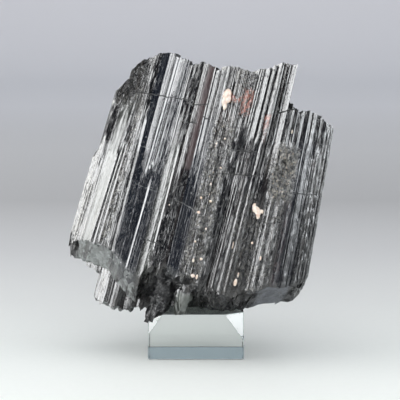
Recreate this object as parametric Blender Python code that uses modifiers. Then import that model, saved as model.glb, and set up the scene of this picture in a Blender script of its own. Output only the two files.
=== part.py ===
"""Black tourmaline crystal, a sub-parallel bundle of striated prisms, standing on a clear acrylic block.

Metres, +Z up. The origin is the middle of the block's underside, +X runs to the viewer's right and +Y away from the viewer.
The bundle is drawn in crystal space, in millimetres: u across, v in depth (negative is the front), w along the long axis.
lean() then narrows it towards its top and tips it over, as it stands on the block.
"""

import math

import bmesh
import bpy
from mathutils import Vector

MM = 0.001

# the block
BLOCK_W, BLOCK_D, BLOCK_H = 30.0, 25.0, 14.5
CUT_RIGHT = ((15.0, -12.5, 5.8), (8.7, -12.5, 14.5), (15.0, -8.6, 14.5))
CUT_LEFT = ((-15.0, -12.5, 8.2), (-10.2, -12.5, 14.5), (-15.0, -9.4, 14.5))
EDGE = 0.35
GAP = 0.3

# how the bundle stands
TILT = math.radians(13.0)      # long axis over to the right
BACK = math.radians(8.0)       # and away from the viewer
TAPER = 0.0015                 # narrowing per millimetre of height
W_MID = 40.0
FOOT = (-5.7, -5.0, 13.2)

# Front prisms, left to right: name, facets (width, degrees turned to the left), top and bottom of the long axis at the
# front edge, slope of the top (per mm across, per mm deep) and of the broken foot, and how deep the prism reaches.
FRONT_START = (-37.9, 3.4)
FRONT = [
    ("a0", [(0.5, 74), (0.4, 40), (0.6, 66)], 44.0, 16.4, (1.6, -0.1), (-1.2, -0.6), 6.0),
    ("a", [(0.6, 66), (0.4, 30), (0.6, 62), (0.4, 10), (1.2, 58)], 66.6, 12.6, (1.2, -0.1), (0.4, -0.7), 6.0),
    ("b", [(0.4, 20), (2.4, 48)], 72.4, 14.6, (1.2, -0.1), (0.2, -0.66), 4.0),
    ("c", [(1.8, 47), (0.3, -20), (0.7, 5), (1.2, 35)], 76.2, 15.4, (0.4, -0.1), (-0.1, -0.80), 2.0),
    ("d", [(0.5, 10), (0.6, 40), (0.5, -5), (0.7, 30), (1.1, 48), (0.3, -30), (2.4, 6)], 78.2, 13.8, (0.25, 0.1), (-0.6, -0.9), 0.0),
    ("e", [(0.7, 5), (0.6, 42), (1.5, 38), (2.3, 8)], 78.1, 10.0, (-0.15, -0.1), (-0.5, -0.72), 1.0),
    ("f", [(1.2, 12), (1.0, 40), (0.3, -25), (1.3, 10), (0.5, 35), (1.0, -5)], 77.2, 11.6, (0.25, -0.2), (-0.1, -0.62), 1.0),
    ("g", [(0.8, 30), (2.2, 2), (0.4, -25), (1.0, 20)], 77.6, 12.8, (-0.15, -0.1), (0.0, -0.64), 1.0),
    ("h", [(1.2, 22), (0.3, -35), (1.2, 15)], 76.3, 12.4, (0.1, 0.2), (-0.1, -0.62), 1.0),
    ("i", [(0.6, 35), (1.2, 5), (0.3, -30), (1.0, 18), (0.9, -8)], 78.8, 12.0, (0.1, -0.2), (-0.1, -0.6), 1.0),
    ("j", [(0.5, 30), (0.9, -10), (0.6, 25), (1.2, 0), (0.4, -35), (0.9, 15), (1.2, -6)], 77.7, 11.4, (-0.1, 0.15), (-0.2, -0.6), 1.0),
    ("k", [(1.2, -30), (0.9, 34), (0.9, 36), (0.8, -45), (0.6, 38), (0.4, -30), (0.7, 34)], 80.2, 10.2, (0.55, -0.1), (0.0, -0.6), 1.0),
    ("l", [(0.9, -10), (1.2, -22), (0.9, 42), (0.5, -35), (2.3, 34), (0.4, -20)], 82.4, 10.8, (0.12, -0.1), (0.2, -0.4), 1.0),
    ("m", [(0.9, -40), (0.9, 28), (1.1, -42), (0.7, 32), (0.8, -38), (0.9, 25), (0.2, -33)], 70.6, 12.8, (-0.7, 0.3), (0.4, -0.27), 1.0),
    ("n", [(1.4, -30), (0.7, 25), (0.9, -38), (1.2, -12), (1.0, -38)], 69.8, 15.8, (0.08, -0.1), (0.3, -0.31), 2.0),
    ("o", [(0.6, 0), (0.9, -45), (0.5, -10), (0.8, -50), (0.5, -15), (0.8, -55), (0.5, -30), (0.7, -62), (0.4, -40), (0.7, -70)],
     68.8, 19.6, (-0.25, -0.1), (0.5, -0.42), 4.0),
]

# How far each front prism's hidden flanks reach into its neighbours, left and right, where it isn't 1.4.
REACH = {"a0": (-0.5, 1.2), "a": (0.2, 1.4), "l": (1.4, 0.3), "o": (1.4, -0.3)}

# Prisms inside and behind: name, centre, reach across and deep, turn, top, bottom, slopes of both.
REAR = [
    ("p", (-27.6, 5.6), (7.2, 6.2), 10, 67.0, 8.4, (0.5, -0.3), (-0.2, -0.2)),
    ("q", (-19.4, 3.0), (6.7, 7.0), 35, 73.5, -2.8, (0.2, -0.2), (-0.1, 0.1)),
    ("r", (-12.4, 4.0), (6.6, 8.0), 5, 75.0, -1.1, (0.1, -0.1), (0.25, 0.15)),
    ("s", (-4.5, 0.5), (9.0, 10.5), 22, 71.5, 2.4, (0.1, -0.2), (0.1, -0.5)),
    ("t", (6.0, 0.5), (8.5, 10.5), 48, 71.5, 2.8, (0.15, -0.2), (0.2, -0.5)),
    ("tt", (13.4, 0.0), (5.2, 10.0), 20, 77.0, 7.2, (0.1, -0.2), (0.4, -0.25)),
    ("u", (19.5, 0.5), (7.6, 10.5), 15, 67.5, 10.2, (-0.2, -0.1), (0.25, -0.18)),
    ("v", (27.4, 0.5), (7.6, 8.5), 40, 66.5, 13.0, (-0.1, -0.1), (0.4, -0.1)),
    ("w", (-24.0, 11.0), (8.0, 7.5), 55, 66.0, 7.5, (0.3, -0.4), (-0.1, 0.3)),
    ("x", (-13.0, 14.0), (8.5, 7.5), 12, 70.5, 3.5, (0.1, -0.2), (0.1, 0.2)),
    ("y", (-1.5, 15.5), (8.0, 7.0), 30, 69.0, 2.0, (0.1, -0.3), (0.1, 0.2)),
    ("z", (10.0, 14.5), (8.5, 7.5), 52, 70.0, 5.4, (-0.1, -0.2), (0.25, 0.2)),
    ("aa", (21.0, 11.0), (8.0, 7.5), 8, 66.0, 11.4, (-0.2, -0.3), (0.2, 0.2)),
    ("bb", (28.6, 6.0), (6.2, 7.0), 28, 61.0, 16.0, (-0.3, -0.3), (0.4, 0.2)),
]

# Broken spurs under the front: name, centre, reach, turn, top, bottom, slopes.
SPURS = [
    ("spur", (-6.0, -11.0), (4.1, 3.8), 20, 14.0, -1.6, (0.0, 0.0), (0.75, 0.25)),
    ("knob", (0.4, -12.6), (3.1, 2.9), 50, 15.0, 0.5, (0.0, 0.0), (0.25, -0.15)),
]

SIDES = 9


def lean(p):
    """A point of crystal space, in mm, where it stands in the row frame, in metres."""
    s = 1.0 - TAPER * (p.z - W_MID)
    x, y, z = p.x * s, p.y * (1.0 - 0.5 * TAPER * (p.z - W_MID)), p.z
    x1, z1 = x * math.cos(TILT) + z * math.sin(TILT), -x * math.sin(TILT) + z * math.cos(TILT)
    y2, z2 = y * math.cos(BACK) + z1 * math.sin(BACK), -y * math.sin(BACK) + z1 * math.cos(BACK)
    return Vector(((x1 + FOOT[0]) * MM, (y2 + FOOT[1]) * MM, (z2 + FOOT[2]) * MM))


def front_line():
    """The front's facets as one chain of points, cut into the prisms' own stretches."""
    u, v = FRONT_START
    out = []
    for row in FRONT:
        points = [(u, v)]
        for width, angle in row[1]:
            u, v = u + width, v - width * math.tan(math.radians(angle))
            points.append((u, v))
        out.append(points)
    return out


def front_outline(name, points, back):
    """The prism's outline: its facets, then hidden flanks that reach into both neighbours and a hidden back."""
    (ua, va), (ub, vb) = points[0], points[-1]
    reach_left = REACH.get(name, (1.4, 1.4))[0]
    reach_right = REACH.get(name, (1.4, 1.4))[1]
    return (points + [(ub + reach_right, vb + 2.6), (ub + reach_right - 0.3, back), (ua - reach_left + 0.3, back + 0.6),
                      (ua - reach_left, va + 2.6)])


def rear_outline(centre, reach, turn):
    """A rounded triangle with flat facets, as a tourmaline's cross-section has."""
    ring = []
    for i in range(SIDES):
        a = 2 * math.pi * i / SIDES
        r = 1.0 + 0.07 * math.cos(3 * a) + 0.03 * math.sin(5 * a + turn)
        b = a + math.radians(turn)
        ring.append((centre[0] + reach[0] * r * math.cos(b), centre[1] + reach[1] * r * math.sin(b)))
    return ring


def prism(name, ring, low, high):
    """A flat outline as a filled 2D curve with thickness, made a mesh with its caps welded."""
    curve = bpy.data.curves.new(name, "CURVE")
    curve.dimensions, curve.fill_mode = "2D", "BOTH"
    curve.extrude = (high - low) / 2
    line = curve.splines.new("POLY")
    line.points.add(len(ring) - 1)
    for point, (u, v) in zip(line.points, ring):
        point.co = (u, v, 0.0, 1.0)
    line.use_cyclic_u = True
    guide = bpy.data.objects.new(name, curve)
    bpy.context.scene.collection.objects.link(guide)
    bpy.context.view_layer.update()
    mesh = bpy.data.meshes.new_from_object(guide.evaluated_get(bpy.context.evaluated_depsgraph_get()))
    bpy.data.objects.remove(guide)
    bm = bmesh.new()
    bm.from_mesh(mesh)
    bmesh.ops.remove_doubles(bm, verts=bm.verts, dist=0.001)
    bmesh.ops.translate(bm, verts=bm.verts, vec=(0, 0, (high + low) / 2))
    bmesh.ops.recalc_face_normals(bm, faces=bm.faces)
    bpy.data.meshes.remove(mesh)
    return bm


def trim(bm, point, normal):
    """Cuts away what lies beyond a plane and closes the cut."""
    geometry = bm.verts[:] + bm.edges[:] + bm.faces[:]
    bmesh.ops.bisect_plane(bm, geom=geometry, plane_co=point, plane_no=normal, clear_outer=True, dist=1e-5)
    rim = [e for e in bm.edges if e.is_boundary]
    bmesh.ops.holes_fill(bm, edges=rim)
    bmesh.ops.recalc_face_normals(bm, faces=bm.faces)


def column(name, ring, at, top, bottom, top_slope, foot_slope):
    bm = prism(name, ring, bottom - 40, top + 30)
    trim(bm, (at[0], at[1], top), Vector((-top_slope[0], -top_slope[1], 1.0)).normalized())
    trim(bm, (at[0], at[1], bottom), Vector((foot_slope[0], foot_slope[1], -1.0)).normalized())
    mesh = bpy.data.meshes.new(name)
    bm.to_mesh(mesh)
    bm.free()
    obj = bpy.data.objects.new(name, mesh)
    bpy.context.scene.collection.objects.link(obj)
    return obj


def combine(base, other, how):
    """One Boolean step, applied at once, with the second object used up."""
    step = base.modifiers.new("join", "BOOLEAN")
    step.operation, step.solver, step.object = how, "EXACT", other
    bpy.context.view_layer.update()
    mesh = bpy.data.meshes.new_from_object(base.evaluated_get(bpy.context.evaluated_depsgraph_get()))
    base.modifiers.clear()
    old, base.data = base.data, mesh
    bpy.data.meshes.remove(old)
    bpy.data.objects.remove(other)


def material(name, colour, roughness, metallic=0.0, transmission=0.0, ior=1.5):
    m = bpy.data.materials.new(name)
    m.use_nodes = True
    shader = m.node_tree.nodes["Principled BSDF"]
    shader.inputs["Base Color"].default_value = (*colour, 1.0)
    shader.inputs["Roughness"].default_value = roughness
    shader.inputs["Metallic"].default_value = metallic
    shader.inputs["Transmission Weight"].default_value = transmission
    shader.inputs["IOR"].default_value = ior
    return m


def box_object(name, low, high):
    bm = bmesh.new()
    bmesh.ops.create_cube(bm, size=1.0)
    size = [b - a for a, b in zip(low, high)]
    bmesh.ops.scale(bm, verts=bm.verts, vec=[x * MM for x in size])
    bmesh.ops.translate(bm, verts=bm.verts, vec=[(a + b) / 2 * MM for a, b in zip(low, high)])
    mesh = bpy.data.meshes.new(name)
    bm.to_mesh(mesh)
    bm.free()
    obj = bpy.data.objects.new(name, mesh)
    bpy.context.scene.collection.objects.link(obj)
    return obj


def cut_corner(bm, corners):
    a, b, c = (Vector(p) * MM for p in corners)
    normal = (b - a).cross(c - a).normalized()
    if normal.z < 0:
        normal = -normal
    trim(bm, a, normal)


def build_block(group):
    obj = box_object("acrylic_block", (-BLOCK_W / 2, -BLOCK_D / 2, 0), (BLOCK_W / 2, BLOCK_D / 2, BLOCK_H))
    bm = bmesh.new()
    bm.from_mesh(obj.data)
    cut_corner(bm, CUT_RIGHT)
    cut_corner(bm, CUT_LEFT)
    bm.to_mesh(obj.data)
    bm.free()
    edge = obj.modifiers.new("edges", "BEVEL")
    edge.width, edge.segments, edge.limit_method = EDGE * MM, 2, "ANGLE"
    edge.angle_limit = math.radians(20)
    obj.data.materials.append(material("clear_acrylic", (0.95, 0.98, 1.0), 0.03, transmission=1.0, ior=1.49))
    bpy.context.scene.collection.objects.unlink(obj)
    group.objects.link(obj)


def build_crystal(group):
    columns = []
    for row, points in zip(FRONT, front_line()):
        name, _, top, bottom, top_slope, foot_slope, back = row
        middle = points[len(points) // 2]
        columns.append(column(name, front_outline(name, points, back), middle, top, bottom, top_slope, foot_slope))
    for name, centre, reach, turn, top, bottom, top_slope, foot_slope in REAR + SPURS:
        columns.append(column(name, rear_outline(centre, reach, turn), centre, top, bottom, top_slope, foot_slope))
    crystal = columns[0]
    crystal.name = "tourmaline_crystal"
    order = sorted(columns[1:], key=lambda o: min(v.co.x for v in o.data.vertices))
    for other in order:
        combine(crystal, other, "UNION")
    for vertex in crystal.data.vertices:
        vertex.co = lean(vertex.co)
    seat = box_object("seat_cutter", (-BLOCK_W / 2 - GAP, -BLOCK_D / 2 - GAP, -1.0), (BLOCK_W / 2 + GAP, BLOCK_D / 2 + GAP, BLOCK_H + GAP))
    combine(crystal, seat, "DIFFERENCE")
    crystal.data.materials.clear()
    crystal.data.materials.append(material("black_tourmaline", (0.02, 0.02, 0.023), 0.25, ior=1.64))
    bpy.context.scene.collection.objects.unlink(crystal)
    group.objects.link(crystal)


def main():
    for obj in list(bpy.data.objects):
        bpy.data.objects.remove(obj)
    group = bpy.data.collections.new("tourmaline_on_block")
    bpy.context.scene.collection.children.link(group)
    build_block(group)
    build_crystal(group)


main()
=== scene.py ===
"""The looks of a black tourmaline bundle on a clear acrylic block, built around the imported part.

The crystal is drawn again in crystal space, in millimetres (u across, v in depth with negative to the front, w along the long
axis), with its striations, pits and broken ends as real geometry, then leaned over as the part is.
"""

import math

import bmesh
import bpy
import numpy as np
from mathutils import Matrix, Vector

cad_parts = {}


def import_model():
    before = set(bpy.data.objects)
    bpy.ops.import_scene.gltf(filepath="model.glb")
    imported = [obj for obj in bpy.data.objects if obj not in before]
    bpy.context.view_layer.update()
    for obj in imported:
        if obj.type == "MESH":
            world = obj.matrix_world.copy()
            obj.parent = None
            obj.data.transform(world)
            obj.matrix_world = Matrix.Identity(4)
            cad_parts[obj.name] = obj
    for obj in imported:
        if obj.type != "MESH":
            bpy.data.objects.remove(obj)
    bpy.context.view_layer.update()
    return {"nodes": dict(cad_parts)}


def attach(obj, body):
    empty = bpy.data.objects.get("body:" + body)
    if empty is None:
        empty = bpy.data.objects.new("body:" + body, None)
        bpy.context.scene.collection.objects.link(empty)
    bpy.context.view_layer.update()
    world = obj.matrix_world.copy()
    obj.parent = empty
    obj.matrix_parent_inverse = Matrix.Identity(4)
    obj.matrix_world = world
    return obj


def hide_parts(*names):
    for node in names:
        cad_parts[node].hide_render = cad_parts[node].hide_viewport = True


MM = 0.001
TILT, BACK = math.radians(13.0), math.radians(8.0)
TAPER, W_MID = 0.0015, 40.0
FOOT = (-5.7, -5.0, 13.2)
BLOCK_W, BLOCK_D, BLOCK_H, GAP = 30.0, 25.0, 14.5, 0.3

# ---------------------------------------------------------------- the prisms, as in the part
# name, facets (width, degrees turned left), top and foot at the front edge, slopes of both, how deep the prism reaches,
# roughness of its broken top and foot
FRONT_START = (-37.9, 3.4)
FRONT = [
    ("a0", [(0.5, 74), (0.4, 40), (0.6, 66)], 44.0, 16.4, (1.6, -0.1), (-1.2, -0.6), 6.0, 0.5, 0.5),
    ("a", [(0.6, 66), (0.4, 30), (0.6, 62), (0.4, 10), (1.2, 58)], 66.6, 12.6, (1.2, -0.1), (0.4, -0.7), 6.0, 0.8, 0.5),
    ("b", [(0.4, 20), (2.4, 48)], 72.4, 14.6, (1.2, -0.1), (0.2, -0.8), 4.0, 0.9, 0.35),
    ("c", [(1.8, 47), (0.3, -20), (0.7, 5), (1.2, 35)], 76.2, 15.4, (0.4, -0.1), (-0.1, -0.85), 2.0, 0.7, 0.3),
    ("d", [(0.5, 10), (0.6, 40), (0.5, -5), (0.7, 30), (1.1, 48), (0.3, -30), (2.4, 6)], 78.1, 14.4, (0.25, -0.1), (-0.5, -0.8), 0.0, 0.5, 0.3),
    ("e", [(0.7, 5), (0.6, 42), (1.5, 38), (2.3, 8)], 78.1, 11.6, (-0.15, -0.25), (-0.5, -0.7), 1.0, 0.4, 0.4),
    ("f", [(1.2, 12), (1.0, 40), (0.3, -25), (1.3, 10), (0.5, 35), (1.0, -5)], 77.4, 9.0, (0.25, -0.3), (-0.3, -0.5), 1.0, 0.5, 1.1),
    ("g", [(0.8, 30), (2.2, 2), (0.4, -25), (1.0, 20)], 77.8, 9.6, (-0.15, -0.28), (0.2, -0.6), 1.0, 0.4, 1.2),
    ("h", [(1.2, 22), (0.3, -35), (1.2, 15)], 76.8, 10.6, (0.1, -0.28), (0.2, -0.5), 1.0, 0.5, 1.2),
    ("i", [(0.6, 35), (1.2, 5), (0.3, -30), (1.0, 18), (0.9, -8)], 78.9, 11.5, (0.1, -0.33), (0.1, -0.55), 1.0, 0.5, 1.2),
    ("j", [(0.5, 30), (0.9, -10), (0.6, 25), (1.2, 0), (0.4, -35), (0.9, 15), (1.2, -6)], 78.4, 11.4, (-0.1, -0.30), (-0.2, -0.6), 1.0, 0.5, 1.0),
    ("k", [(2.1, -4), (1.1, 32), (0.35, -60), (1.1, 34), (0.45, -55), (0.4, 10)], 81.1, 10.2, (0.38, -0.25), (0.0, -0.6), 1.0, 0.3, 0.9),
    ("l", [(1.5, 32), (0.5, -60), (0.9, 10), (0.2, -40), (0.8, 42), (0.4, -60), (1.9, 30)], 83.2, 10.8, (0.17, -0.25), (0.2, -0.4), 1.0, 0.3, 0.9),
    ("m", [(1.8, 5), (0.8, -34), (1.2, 20), (0.7, -34), (0.8, 8), (0.2, -30)], 70.6, 12.8, (0.12, -0.28), (0.4, -0.27), 1.0, 1.0, 0.35),
    ("n", [(0.7, -34), (1.6, 0), (0.7, -36), (1.2, -14), (1.0, -38)], 70.6, 15.8, (0.10, -0.2), (0.3, -0.31), 2.0, 0.4, 0.3),
    ("o", [(0.6, 0), (0.9, -45), (0.5, -10), (0.8, -50), (0.5, -15), (0.8, -55), (0.5, -30), (0.7, -62), (0.4, -40), (0.7, -70)],
     68.8, 19.6, (-0.25, -0.1), (0.5, -0.42), 4.0, 0.8, 0.5),
]
REACH = {"a0": (-0.5, 1.2), "a": (0.2, 1.4), "b": (0.2, 1.4), "c": (0.2, 1.4), "d": (0.5, 1.4), "l": (1.4, 0.3), "o": (1.4, -0.3)}

# name, centre, reach across and deep, turn, top, bottom, slopes of both; some tops are a little lower than the part's
REAR = [
    ("p", (-27.6, 5.6), (7.2, 6.2), 10, 67.0, 8.4, (0.5, -0.3), (-0.2, -0.2)),
    ("q", (-19.4, 3.0), (6.7, 7.0), 35, 72.0, -2.8, (0.2, -0.2), (-0.1, 0.1)),
    ("r", (-12.4, 4.0), (6.6, 8.0), 5, 72.5, -1.1, (0.1, -0.1), (0.25, 0.15)),
    ("s", (-4.5, 0.5), (9.0, 10.5), 22, 69.4, 2.4, (0.1, -0.2), (0.1, -0.5)),
    ("t", (6.0, 0.5), (8.5, 10.5), 48, 69.6, 2.8, (0.15, -0.2), (0.2, -0.5)),
    ("tt", (13.4, 0.0), (5.2, 10.0), 20, 73.0, 7.2, (0.1, -0.2), (0.4, -0.25)),
    ("u", (19.5, 0.5), (7.6, 10.5), 15, 64.0, 10.2, (-0.2, -0.1), (0.25, -0.18)),
    ("v", (27.4, 0.5), (7.6, 8.5), 40, 64.0, 13.0, (-0.1, -0.1), (0.4, -0.1)),
    ("w", (-24.0, 11.0), (8.0, 7.5), 55, 66.0, 7.5, (0.3, -0.4), (-0.1, 0.3)),
    ("x", (-13.0, 14.0), (8.5, 7.5), 12, 66.5, 3.5, (0.1, -0.2), (0.1, 0.2)),
    ("y", (-1.5, 15.5), (8.0, 7.0), 30, 66.0, 2.0, (0.1, -0.3), (0.1, 0.2)),
    ("z", (10.0, 14.5), (8.5, 7.5), 52, 66.0, 5.4, (-0.1, -0.2), (0.25, 0.2)),
    ("aa", (21.0, 11.0), (8.0, 7.5), 8, 61.0, 11.4, (-0.2, -0.3), (0.2, 0.2)),
    ("bb", (28.6, 6.0), (6.2, 7.0), 28, 61.0, 16.0, (-0.3, -0.3), (0.4, 0.2)),
]
SPURS = [
    ("spur", (-6.0, -11.0), (4.1, 3.8), 20, 14.0, -1.6, (0.0, 0.0), (0.75, 0.25)),
    ("knob", (0.4, -12.6), (3.1, 2.9), 50, 15.0, 0.5, (0.0, 0.0), (0.25, -0.15)),
]
CRAGS = [
    ("crag_1", (19.9, -6.8), (1.7, 2.2), 10, 72.6, 56.0, (-0.3, 0.0), (0.0, 0.0)),
    ("crag_2", (21.5, -5.6), (1.5, 2.0), 40, 71.6, 56.0, (-0.3, 0.1), (0.0, 0.0)),
    ("crag_3", (22.9, -6.8), (1.4, 1.8), 70, 70.4, 56.0, (-0.3, 0.0), (0.0, 0.0)),
]
SIDES = 9
# turns of the ribs on the low cluster at the left, where each starts across
CLUSTER = [(-40, 40), (-25.6, 44), (-24.3, 2), (-23.8, 46), (-22.6, 4), (-21.7, 42), (-19.6, 2), (-18.9, 46), (-18.2, 6), (-17.4, 38),
           (-16.4, -4), (-15.6, 30), (-14.6, 0), (-13.0, 24), (-12.4, 0)]

# ---------------------------------------------------------------- the bands of the front face
# Where each band of striations starts across the face (at w 45), and the turn of its ribs, in degrees to the left, from the
# top down: (down to w, turn, how broken up the ribs are from 0 to 1).
BANDS = [
    (-38.2, (61, 0, 0.7), (48, 14, 0.7), (36, 50, 0.7), (10, 58, 0.6)),
    (-36.0, (61, -15, 0.8), (49, 8, 0.7), (34, 50, 0.5), (10, 60, 0.3)),
    (-35.0, (62, -12, 0.8), (50, 4, 0.5), (38, 15, 0.4), (10, 56, 0.2)),
    (-34.5, (60, -15, 0.9), (49, 6, 0.6), (42, 22, 0.3), (10, 52, 0.15)),
    (-33.8, (63, -12, 0.9), (52, 4, 0.5), (30, 12, 0.3), (10, 50, 0.1)),
    (-33.4, (63, -12, 0.9), (55, 8, 0.5), (47, 22, 0.3), (40, 34, 0.1), (10, 50, 0.05)),
    (-32.2, (62, -12, 0.9), (56, 8, 0.4), (44, 22, 0.2), (10, 46, 0.04)),
    (-29.6, (60, 5, 0.6), (46, 18, 0.3), (28, 4, 0.1), (10, 8, 0.1)),
    (-29.0, (74, 10, 0.3), (60, -4, 0.4), (48, 8, 0.3), (10, 50, 0.1)),
    (-27.4, (60, 15, 0.6), (46, 26, 0.7), (30, 24, 0.8), (10, 20, 0.8)),
    (-25.7, (70, 2, 0.4), (61, 12, 0.4), (44, 28, 0.2), (10, 50, 0.1)),
    (-25.0, (60, 5, 0.4), (50, 24, 0.4), (10, 20, 0.3)),
    (-23.9, (56, 6, 0.2), (46, 44, 0.2), (10, 52, 0.1)),
    (-23.2, (56, -6, 0.1), (40, -2, 0.1), (10, 8, 0.2)),
    (-22.3, (78, -6, 0.1), (48, -4, 0.1), (10, 5, 0.1)),
    (-21.7, (64, 46, 0.03), (47, 38, 0.05), (41, 22, 0.05), (10, 4, 0.03)),
    (-20.1, (41, 58, 0.03), (10, 2, 0.03)),
    (-19.2, (40, 8, 0.1), (10, 1, 0.03)),
    (-18.9, (66, 40, 0.05), (44, 52, 0.05), (10, 2, 0.05)),
    (-17.6, (66, 24, 0.15), (46, 20, 0.2), (37, 18, 0.3), (10, 52, 0.05)),
    (-17.0, (66, 24, 0.15), (46, 18, 0.2), (37, 14, 0.3), (10, 5, 0.1)),
    (-16.0, (66, 22, 0.2), (60, 8, 0.3), (42, 16, 0.2), (10, 4, 0.1)),
    (-15.2, (60, 6, 0.3), (45, 20, 0.3), (10, 6, 0.1)),
    (-14.8, (52, 40, 0.2), (40, 20, 0.2), (10, 8, 0.1)),
    (-14.0, (60, 4, 0.3), (48, 16, 0.2), (30, 20, 0.1), (10, 14, 0.1)),
    (-13.2, (60, 8, 0.3), (48, 18, 0.2), (10, 28, 0.1)),
    (-12.5, (55, 4, 0.4), (44, 20, 0.3), (10, 22, 0.2)),
    (-11.8, (52, 14, 0.3), (20, 52, 0.1), (8, 4, 0.4)),
    (-11.1, (52, 6, 0.3), (8, 4, 0.3)),
    (-10.4, (56, 56, 0.1), (44, 36, 0.2), (37, 22, 0.3), (6, 4, 0.6)),
    (-9.2, (62, 46, 0.2), (46, 20, 0.3), (6, 4, 0.7)),
    (-8.7, (50, 30, 0.2), (42, 10, 0.3), (6, 2, 0.45)),
    (-8.1, (46, 6, 0.03), (36, 0, 0.1), (6, -2, 0.3)),
    (-6.3, (50, 50, 0.1), (43, 24, 0.1), (6, -2, 0.1)),
    (-5.9, (46, 8, 0.1), (6, 0, 0.05)),
    (-5.4, (52, 42, 0.1), (44, 26, 0.1), (6, 1, 0.05)),
    (-4.7, (62, 28, 0.05), (48, 24, 0.1), (40, 20, 0.1), (6, 3, 0.05)),
    (-2.8, (60, 30, 0.1), (44, 30, 0.1), (36, 26, 0.2), (6, 16, 0.2)),
    (-2.2, (66, 50, 0.1), (60, 44, 0.4), (50, 20, 0.8), (6, 4, 0.9)),
    (-1.4, (70, 50, 0.1), (60, 50, 0.4), (46, 26, 0.9), (28, 4, 0.9), (6, -4, 0.9)),
    (0.6, (72, 20, 0.2), (60, 50, 0.4), (50, 30, 0.9), (34, 2, 0.9), (6, -6, 0.9)),
    (1.3, (72, 54, 0.05), (60, 50, 0.4), (45, 30, 0.9), (30, 4, 1.0), (6, -6, 0.9)),
    (3.9, (71, 54, 0.2), (60, 46, 0.5), (52, 10, 0.8), (6, 0, 0.7)),
    (5.3, (70, 50, 0.2), (58, 40, 0.4), (46, 6, 0.5), (6, 2, 0.5)),
    (6.2, (60, 34, 0.3), (50, 4, 0.5), (6, 0, 0.4)),
    (7.1, (60, 48, 0.2), (48, 10, 0.5), (40, 46, 0.1), (6, 56, 0.05)),
    (8.2, (58, 44, 0.2), (44, 8, 0.5), (20, 40, 0.4), (6, 30, 0.3)),
    (9.0, (57, 50, 0.03), (46, 16, 0.4), (6, 20, 0.4)),
    (10.1, (57, -50, 0.03), (47, 10, 0.5), (38, 24, 0.3), (6, 44, 0.1)),
    (10.45, (57, 53, 0.04), (47, 20, 0.5), (38, 30, 0.3), (6, 44, 0.1)),
    (11.1, (57, 53, 0.04), (44, 8, 0.5), (20, 2, 0.3), (6, 6, 0.3)),
    (11.55, (57, -40, 0.04), (47, 4, 0.5), (30, 14, 0.5), (6, 44, 0.2)),
    (12.0, (60, 20, 0.1), (47, 10, 0.5), (30, 14, 0.5), (6, 20, 0.3)),
    (12.4, (58, 50, 0.04), (50, 30, 0.4), (44, 14, 0.6), (34, 30, 0.5), (6, 14, 0.5)),
    (13.2, (58, 50, 0.08), (48, 24, 0.6), (6, 10, 0.6)),
    (13.9, (58, -30, 0.1), (50, 10, 0.3), (40, 12, 0.6), (6, 4, 0.6)),
    (14.4, (58, 46, 0.1), (50, 46, 0.1), (40, 20, 0.6), (24, 8, 0.6), (6, 2, 0.6)),
    (15.3, (54, -20, 0.1), (42, 20, 0.7), (28, 18, 0.6), (6, 4, 0.5)),
    (15.5, (54, 43, 0.03), (42, 26, 0.7), (28, 24, 0.6), (6, 14, 0.5)),
    (16.3, (54, -50, 0.05), (42, 16, 0.7), (6, 8, 0.6)),
    (16.7, (54, 47, 0.02), (46, 40, 0.3), (24, 20, 0.7), (6, 10, 0.5)),
    (17.7, (54, 48, 0.04), (42, 34, 0.6), (6, 14, 0.6)),
    (18.6, (60, 4, 0.4), (52, 26, 0.6), (42, 34, 0.8), (28, 30, 0.5), (6, 34, 0.3)),
    (20.4, (60, -34, 0.05), (54, -34, 0.3), (43, -30, 0.7), (6, -20, 0.6)),
    (21.2, (60, 4, 0.3), (54, 30, 0.6), (43, 34, 0.8), (6, 30, 0.6)),
    (22.4, (57, -34, 0.05), (43, -30, 0.6), (6, -10, 0.6)),
    (23.1, (57, 8, 0.3), (43, 20, 0.7), (6, 20, 0.6)),
    (23.9, (58, -33, 0.05), (46, -30, 0.5), (6, -14, 0.3)),
    (24.8, (56, 0, 0.2), (46, -8, 0.3), (6, -14, 0.2)),
    (26.4, (60, -35, 0.05), (46, -30, 0.3), (6, -6, 0.2)),
    (27.1, (60, -8, 0.3), (40, -26, 0.2), (6, -22, 0.3)),
    (28.0, (60, -28, 0.3), (44, -24, 0.2), (6, -26, 0.4)),
    (29.2, (58, -40, 0.3), (46, -22, 0.3), (6, -12, 0.4)),
    (29.9, (58, -14, 0.4), (46, -36, 0.4), (6, -18, 0.4)),
    (30.5, (58, -8, 0.4), (46, -12, 0.4), (6, -10, 0.4)),
    (31.0, (60, -40, 0.5), (42, -18, 0.4), (6, -14, 0.5)),
    (31.6, (60, -16, 0.5), (42, -36, 0.4), (6, -34, 0.5)),
    (32.0, (64, -12, 0.6), (42, -14, 0.5), (6, -12, 0.4)),
    (32.6, (64, -20, 0.5), (44, -42, 0.4), (20, -20, 0.5), (6, -40, 0.4)),
    (33.1, (64, -26, 0.5), (44, -20, 0.4), (6, -16, 0.5)),
    (33.8, (60, -20, 0.5), (40, -24, 0.4), (6, -44, 0.4)),
    (34.3, (60, -30, 0.5), (6, -24, 0.4)),
]

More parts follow.
